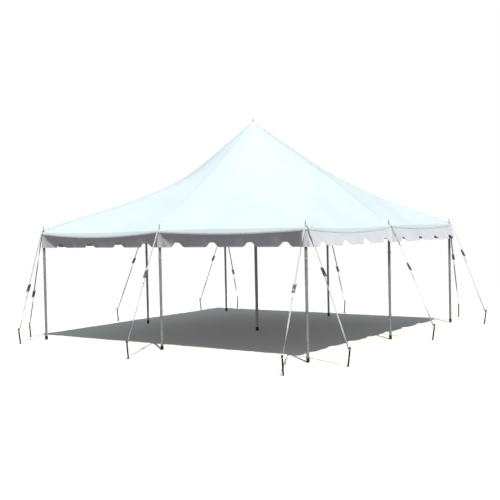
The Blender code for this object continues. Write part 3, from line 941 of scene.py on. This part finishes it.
def guy_places(guy):
    """The upright frame at the pin, the eye's height, where the strap turns over the edge, the ratchet's
    frame, the middle of the noose, where the sling meets it and the stake's direction."""
    pole = guy.split("_to_")[0]
    across, along = POLE_PLACES[pole]
    foot, _, axis = stake_line(guy)
    pin = Vector((across * BAY, along * BAY, 0.0))
    out = Vector((foot.x - pin.x, foot.y - pin.y, 0.0)).normalized()
    level = EYE_STACK if guy.endswith(("_to_left", "_to_right")) else 0.0
    upright = axes_at(pin, out, Vector((0, 0, 1)))
    bend = upright @ Vector((EDGE_OUT, 0.0, EAVE_Z - EDGE_DROP + level))
    joint = next(joint for joint in frame["joints"] if joint["name"] == f"swing_{guy}")
    noose = foot + axis * LOOP_Z
    end = noose - out * (STAKE_RADIUS + 0.002)
    down = (end - bend).normalized()
    normal = down.cross(Vector(joint["axis"])).normalized()
    if normal.z < 0:
        normal = -normal
    ratchet = axes_at(Vector(joint["pos_m"]), down, normal)
    return upright, EAVE_Z + EYE_RISE + level, bend, ratchet, noose, end, axis


def prism(name, outline, thick, place, near):
    """A plate cut to an outline in a frame's XZ plane, from near to near + thick, with eased edges."""
    work = bmesh.new()
    face = work.faces.new([work.verts.new((x, near, z)) for x, z in outline])
    made = bmesh.ops.extrude_face_region(work, geom=[face])
    moved = [item for item in made["geom"] if isinstance(item, bmesh.types.BMVert)]
    bmesh.ops.translate(work, verts=moved, vec=(0, thick, 0))
    bmesh.ops.recalc_face_normals(work, faces=work.faces)
    sharp = [edge for edge in work.edges if edge.calc_face_angle(0) > math.radians(50)]
    bmesh.ops.bevel(work, geom=sharp, offset=min(0.0006, thick / 4), segments=2, affect="EDGES",
                    clamp_overlap=True)
    bmesh.ops.transform(work, matrix=place, verts=work.verts)
    return finished(name, work, 35)


def joined(name, meshes):
    work = bmesh.new()
    for mesh in meshes:
        work.from_mesh(mesh)
    return finished(name, work, 40)


def coil(start, turns, radius, more, steps):
    """Points in a plane from an angle, through some turns, while the radius grows by more."""
    ways = [(math.radians(start + 360 * turns * step / steps), radius + more * step / steps)
            for step in range(steps + 1)]
    return [(far * math.cos(turn), far * math.sin(turn)) for turn, far in ways]


def arc(cx, cz, radius, start, stop, steps):
    return [(cx + x, cz + z) for x, z in coil(start, (stop - start) / 360, radius, 0.0, steps)]


def side_turned(name, profile, facets, place):
    """A turned body whose axis lies across the strap."""
    return turned(name, profile, facets, place @ Matrix.Rotation(math.radians(-90), 4, "X"))


def wheel_outline(teeth, tip, root):
    """A ratchet wheel: each tooth rises slowly and drops at once."""
    outline = []
    for tooth in range(teeth):
        start = math.tau * tooth / teeth
        for share, radius in ((0.0, root), (0.45, (root + tip) / 2), (0.9, tip), (0.96, tip)):
            turn = start + share * math.tau / teeth
            outline.append((radius * math.cos(turn), radius * math.sin(turn)))
    return outline


FRAME_PLATE = arc(0.0, 0.0, 0.0145, 250, 60, 12) + [(0.030, 0.0128), (0.062, 0.0085)]
FRAME_PLATE += arc(BOLT_AT, 0.0, 0.0095, 90, -90, 8) + [(0.080, -0.0098), (0.012, -0.0135)]
HANDLE_PLATE = arc(0.0, 0.0, 0.012, 279, 99, 10) + [(0.030, 0.0165), (0.118, 0.0285)]
HANDLE_PLATE += arc(0.135, 0.022, 0.0078, 95, -80, 8) + [(0.060, 0.001)]


def ratchet_pieces(guy, ratchet):
    plates = [prism("plate", FRAME_PLATE, PLATE, ratchet, near) for near in (0.0145, -0.0175)]
    cover = [(0.040, -0.0095), (0.090, -0.0095), (0.090, -0.0070), (0.040, -0.0070)]
    plates.append(prism("cover", cover, 0.0286, ratchet, -0.0143))
    pawl = [(0.0195, 0.0045), (0.0205, 0.0020), (0.046, -0.0005), (0.046, 0.0020)]
    plates.append(prism("pawl", pawl, 0.0425, ratchet, -0.02125))
    for near in (0.0182, -0.0212):
        plates.append(prism("wheel", wheel_outline(11, 0.0168, 0.0138), PLATE, ratchet, near))
    axle = [(0.0, -0.0285), (0.0052, -0.0285), (0.0060, -0.0278), (0.0060, -0.0262), (0.0051, -0.0262)]
    axle += [(0.0051, 0.0262), (0.0060, 0.0262), (0.0060, 0.0278), (0.0052, 0.0285), (0.0, 0.0285)]
    plates.append(side_turned("axle", axle, 24, ratchet))
    bolt = [(0.0, -0.0215), (0.0085, -0.0215), (0.0095, -0.0205), (0.0095, -0.0180), (0.0048, -0.0178)]
    bolt += [(0.0048, 0.0178), (0.0095, 0.0180), (0.0095, 0.0215), (0.0060, 0.0215), (0.0055, 0.0240)]
    bolt.append((0.0, 0.0240))
    plates.append(side_turned("bolt", bolt, 6, ratchet @ Matrix.Translation((BOLT_AT, 0, 0))))
    piece(f"ratchet_{guy}", joined(f"ratchet_{guy}", plates), ZINC)
    body = f"handle_{guy}"
    arms = [prism("arm", HANDLE_PLATE, PLATE, ratchet, near) for near in (0.0224, -0.0254)]
    web = [(0.096, 0.0135), (0.120, 0.0165), (0.1195, 0.0190), (0.0955, 0.0160)]
    arms.append(prism("web", web, 0.0444, ratchet, -0.0222))
    piece(f"handle_{guy}", joined(f"handle_{guy}", arms), ZINC, body, [f"handle_{guy}"])
    grip = [(0.0, -0.0222)]
    for rib in range(9):
        at = -0.0222 + rib * 0.0049
        grip += [(0.0066, at + 0.0003), (0.0076, at + 0.0012), (0.0076, at + 0.0034), (0.0066, at + 0.0044)]
    grip += [(0.0, 0.0222)]
    held = ratchet @ Matrix.Translation((0.135, 0, 0.022))
    piece(f"grip_{guy}", side_turned("grip", grip, 20, held), GRIP, body)


def strap_pieces(guy, upright, eye_z, bend, ratchet, noose, end, axis):
    eye = [upright @ Vector((x, 0.0, eye_z)) for x in (-EYE_BACK, EYE_FRONT)]
    wound = coil(100, -2.25, SPOOL_RADIUS + 0.0046, -0.0046, 36)
    spiral = [ratchet @ Vector((x, 0.0, z)) for x, z in wound]
    route = eye + [bend]
    run = (spiral[0] - bend).length
    route += [bend + (spiral[0] - bend) * share / 20 for share in range(1, 20)] + spiral
    quarters = TWISTS.get(guy, 0)
    strap = swept(f"strap_{guy}", [route], WEBBING_WHITE, WEBBING, PLY, quarters=quarters, step=0.004,
                  bend=0.006, turn_from=0.12, turn_to=0.12 + 0.6 * run / (run + 0.25))
    piece(f"strap_{guy}", strap, WEBBING_WHITE, stands_for=[f"guy_{guy}"])
    ring_seat = upright @ Matrix.Translation((0, 0, eye_z))
    ring = [(0.0079, -0.0017), (0.0079, 0.0013), (0.0088, 0.0017), (0.0112, 0.0016), (0.0122, 0.0010)]
    ring += [(0.0122, -0.0012), (0.0112, -0.0017), (0.0079, -0.0017)]
    piece(f"eye_{guy}", turned("eye", ring, 24, ring_seat), ZINC)
    hook = []
    for side in (1, -1):
        half = [(BOLT_AT + 0.004, 0.0125, 0.0), (BOLT_AT + 0.020, 0.0125, 0.0), (0.170, 0.009, 0.0)]
        half += [(0.222, 0.0045, 0.0), (0.246, 0.0045, -0.0045), (0.2535, 0.0045, -0.0015)]
        half += [(0.2545, 0.0045, 0.0045), (0.246, 0.0045, 0.0072), (0.236, 0.0045, 0.0068)]
        hook.append([ratchet @ Vector((x, y * side, z)) for x, y, z in half])
    wire = swept("hook", hook, ZINC, WIRE, WIRE, step=0.003, bend=0.006, soft=0.0022)
    ring_path = [ratchet @ Vector((RING_AT + x, y, 0.0)) for x, y in coil(0, 1, RING_RADIUS, 0.0, 32)[:-1]]
    loop = swept("ring", [ring_path], ZINC, WIRE, WIRE, closed=True, step=0.003, soft=0.0022)
    piece(f"hook_{guy}", joined(f"hook_{guy}", [wire, loop]), ZINC)
    ring_low = RING_AT + RING_RADIUS
    low = ratchet @ Vector((ring_low, 0.0, 0.0))
    fold = [(0.022, 0.0034), (0.004, 0.0038), (-0.0036, 0.002), (-0.0036, -0.002), (0.004, -0.0030)]
    fold = [ratchet @ Vector((ring_low + x, 0.0, z)) for x, z in fold + [(0.022, -0.0014)]]
    sling_end = end + (low - end).normalized() * 0.004
    fold += [low + (sling_end - low) * share / 12 for share in range(2, 13)]
    sling = swept("sling", [fold], WEBBING_WHITE, WEBBING * 0.92, 0.0034, quarters=1, step=0.004, bend=0.002,
                  turn_from=0.35, turn_to=0.93)
    turn = axis.to_track_quat("Z", "X").to_matrix()
    wound = coil(0, 2, STAKE_RADIUS + 0.0016, 0.0019, 60)
    around = [noose + turn @ Vector((x, y, 0.0)) for x, y in wound]
    wrap = swept("noose", [around], WEBBING_WHITE, PLY, WEBBING * 0.96, step=0.004)
    piece(f"sling_{guy}", joined(f"sling_{guy}", [sling, wrap]), WEBBING_WHITE)


for joint in frame["joints"]:
    guy = joint["name"].removeprefix("swing_")
    places = guy_places(guy)
    stake_piece(guy)
    strap_pieces(guy, *places)
    ratchet_pieces(guy, places[3])


# The pole ties: two turns of the same webbing round each side pole below the valance, tied in a flat knot.
# On the real tent they hold rolled-up walls, and one shows on each pole that the photo has near enough.
TIE_Z = 1.62
TIE_WIDE = 0.022


def pole_tie(pole, x, y):
    """Two turns of webbing tied round a pole below the valance, with its flat knot."""
    middle = Vector((x, y, TIE_Z))
    wound = coil(0, 2, SIDE_POLE_RADIUS + 0.0014, 0.0021, 72)
    round_pole = [middle + Vector((dx, dy, 0.004 * step / 72)) for step, (dx, dy) in enumerate(wound)]
    wrap = swept("wrap", [round_pole], WEBBING_WHITE, PLY, TIE_WIDE, step=0.005)
    outward = Vector((x, y, 0.0)).normalized()
    across = outward.cross(Vector((0, 0, 1)))
    centre = middle + Vector((0, 0, 0.002)) + outward * (SIDE_POLE_RADIUS + 0.008)
    knot = [centre - across * 0.014 - outward * 0.004, centre - across * 0.006]
    knot += [centre + across * 0.006 + outward * 0.001, centre + across * 0.014 - outward * 0.004]
    lump = swept("knot", [knot], WEBBING_WHITE, 0.008, 0.024, step=0.003, bend=0.004, soft=0.003)
    piece(f"tie_{pole}", joined(f"tie_{pole}", [wrap, lump]), WEBBING_WHITE)


for pole, (across, along) in POLE_PLACES.items():
    pole_tie(pole, across * BAY, along * BAY)
